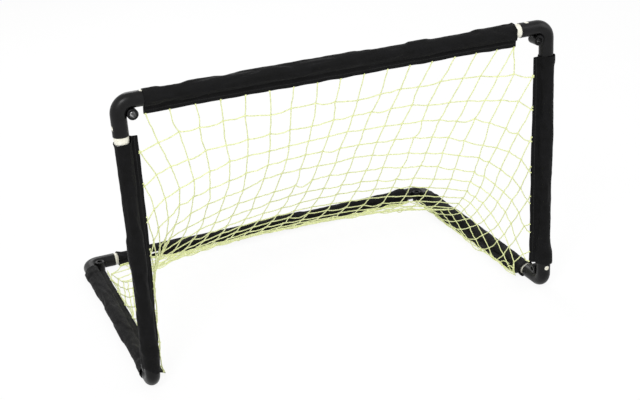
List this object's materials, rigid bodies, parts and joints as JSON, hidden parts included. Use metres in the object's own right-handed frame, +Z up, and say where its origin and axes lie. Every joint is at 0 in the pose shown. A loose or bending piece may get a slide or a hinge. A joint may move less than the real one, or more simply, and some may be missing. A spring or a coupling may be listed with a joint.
{
  "type": "pop up goal",
  "caption": "Folding net goal: tube frame in black fabric sleeves, hinged front frame, moulded corner elbows with peg eyes, and a square-mesh net.",
  "frame": {"origin": "on the ground, under the middle of the bounding box", "axes": "+Z up, +Y from the goal mouth to the back, +X along the crossbar"},
  "size_m": [0.917, 0.626, 0.6066],
  "materials": {
    "elbow_plastic": "semi-gloss black moulding",
    "insert_nylon": "natural nylon",
    "tube_steel": "powder coat",
    "rivet_steel": "blackened",
    "spring_steel": "bright",
    "sleeve_fabric": "thin polyester",
    "net_twine": "knotted twine",
    "tag_fabric": "woven label"
  },
  "bodies": {
    "ground_frame": {"blank_tag": "tag_fabric", "goal_net": "net_twine", "ground_snap_springs": "spring_steel", "left_hinge_lower": "elbow_plastic", "left_hinge_rivet": "rivet_steel", "left_side_front_ferrule": "insert_nylon", "left_side_rear_ferrule": "insert_nylon", "left_side_sleeve": "sleeve_fabric", "left_side_tube": "tube_steel", "rear_bar_left_ferrule": "insert_nylon", "rear_bar_right_ferrule": "insert_nylon", "rear_bar_sleeve": "sleeve_fabric", "rear_bar_tube": "tube_steel", "rear_left_elbow": "elbow_plastic", "rear_right_elbow": "elbow_plastic", "right_hinge_lower": "elbow_plastic", "right_hinge_rivet": "rivet_steel", "right_side_front_ferrule": "insert_nylon", "right_side_rear_ferrule": "insert_nylon", "right_side_sleeve": "sleeve_fabric", "right_side_tube": "tube_steel"},
    "front_frame": {"crossbar_left_ferrule": "insert_nylon", "crossbar_right_ferrule": "insert_nylon", "crossbar_sleeve": "sleeve_fabric", "crossbar_tube": "tube_steel", "front_snap_springs": "spring_steel", "left_hinge_upper": "elbow_plastic", "left_upright_bottom_ferrule": "insert_nylon", "left_upright_sleeve": "sleeve_fabric", "left_upright_top_ferrule": "insert_nylon", "left_upright_tube": "tube_steel", "right_hinge_upper": "elbow_plastic", "right_upright_bottom_ferrule": "insert_nylon", "right_upright_sleeve": "sleeve_fabric", "right_upright_top_ferrule": "insert_nylon", "right_upright_tube": "tube_steel", "top_left_elbow": "elbow_plastic", "top_right_elbow": "elbow_plastic"},
    "crossbar_left_snap_button_body": {"crossbar_left_snap_button": "insert_nylon"},
    "crossbar_right_snap_button_body": {"crossbar_right_snap_button": "insert_nylon"},
    "left_side_front_snap_button_body": {"left_side_front_snap_button": "insert_nylon"},
    "left_side_rear_snap_button_body": {"left_side_rear_snap_button": "insert_nylon"},
    "left_upright_bottom_snap_button_body": {"left_upright_bottom_snap_button": "insert_nylon"},
    "left_upright_top_snap_button_body": {"left_upright_top_snap_button": "insert_nylon"},
    "rear_bar_left_snap_button_body": {"rear_bar_left_snap_button": "insert_nylon"},
    "rear_bar_right_snap_button_body": {"rear_bar_right_snap_button": "insert_nylon"},
    "right_side_front_snap_button_body": {"right_side_front_snap_button": "insert_nylon"},
    "right_side_rear_snap_button_body": {"right_side_rear_snap_button": "insert_nylon"},
    "right_upright_bottom_snap_button_body": {"right_upright_bottom_snap_button": "insert_nylon"},
    "right_upright_top_snap_button_body": {"right_upright_top_snap_button": "insert_nylon"}
  },
  "joints": [
    {"name": "front_fold", "type": "hinge", "parent": "ground_frame", "child": "front_frame", "pos_m": [0, -0.273, 0.0386], "axis": [-1, 0, 0], "range_deg": [0, 90], "deforming": ["goal_net"]},
    {"name": "crossbar_left_press", "type": "slide", "parent": "front_frame", "child": "crossbar_left_snap_button_body", "axis": [0, 0, -1], "range_m": [0, 0.0035], "stiffness_N_per_m": 900, "springref_m": -0.003, "deforming": ["front_snap_springs"]},
    {"name": "crossbar_right_press", "type": "slide", "parent": "front_frame", "child": "crossbar_right_snap_button_body", "axis": [0, 0, -1], "range_m": [0, 0.0035], "stiffness_N_per_m": 900, "springref_m": -0.003, "deforming": ["front_snap_springs"]},
    {"name": "left_side_front_press", "type": "slide", "parent": "ground_frame", "child": "left_side_front_snap_button_body", "axis": [0, 0, 1], "range_m": [0, 0.0035], "stiffness_N_per_m": 900, "springref_m": -0.003, "deforming": ["ground_snap_springs"]},
    {"name": "left_side_rear_press", "type": "slide", "parent": "ground_frame", "child": "left_side_rear_snap_button_body", "axis": [1, 0, 0], "range_m": [0, 0.0035], "stiffness_N_per_m": 900, "springref_m": -0.003, "deforming": ["ground_snap_springs"]},
    {"name": "left_upright_bottom_press", "type": "slide", "parent": "front_frame", "child": "left_upright_bottom_snap_button_body", "axis": [0, 1, 0], "range_m": [0, 0.0035], "stiffness_N_per_m": 900, "springref_m": -0.003, "deforming": ["front_snap_springs"]},
    {"name": "left_upright_top_press", "type": "slide", "parent": "front_frame", "child": "left_upright_top_snap_button_body", "axis": [1, 0, 0], "range_m": [0, 0.0035], "stiffness_N_per_m": 900, "springref_m": -0.003, "deforming": ["front_snap_springs"]},
    {"name": "rear_bar_left_press", "type": "slide", "parent": "ground_frame", "child": "rear_bar_left_snap_button_body", "axis": [0, -1, 0], "range_m": [0, 0.0035], "stiffness_N_per_m": 900, "springref_m": -0.003, "deforming": ["ground_snap_springs"]},
    {"name": "rear_bar_right_press", "type": "slide", "parent": "ground_frame", "child": "rear_bar_right_snap_button_body", "axis": [0, -1, 0], "range_m": [0, 0.0035], "stiffness_N_per_m": 900, "springref_m": -0.003, "deforming": ["ground_snap_springs"]},
    {"name": "right_side_front_press", "type": "slide", "parent": "ground_frame", "child": "right_side_front_snap_button_body", "axis": [0, 0, 1], "range_m": [0, 0.0035], "stiffness_N_per_m": 900, "springref_m": -0.003, "deforming": ["ground_snap_springs"]},
    {"name": "right_side_rear_press", "type": "slide", "parent": "ground_frame", "child": "right_side_rear_snap_button_body", "axis": [-1, 0, 0], "range_m": [0, 0.0035], "stiffness_N_per_m": 900, "springref_m": -0.003, "deforming": ["ground_snap_springs"]},
    {"name": "right_upright_bottom_press", "type": "slide", "parent": "front_frame", "child": "right_upright_bottom_snap_button_body", "axis": [0, 1, 0], "range_m": [0, 0.0035], "stiffness_N_per_m": 900, "springref_m": -0.003, "deforming": ["front_snap_springs"]},
    {"name": "right_upright_top_press", "type": "slide", "parent": "front_frame", "child": "right_upright_top_snap_button_body", "axis": [-1, 0, 0], "range_m": [0, 0.0035], "stiffness_N_per_m": 900, "springref_m": -0.003, "deforming": ["front_snap_springs"]}
  ]
}
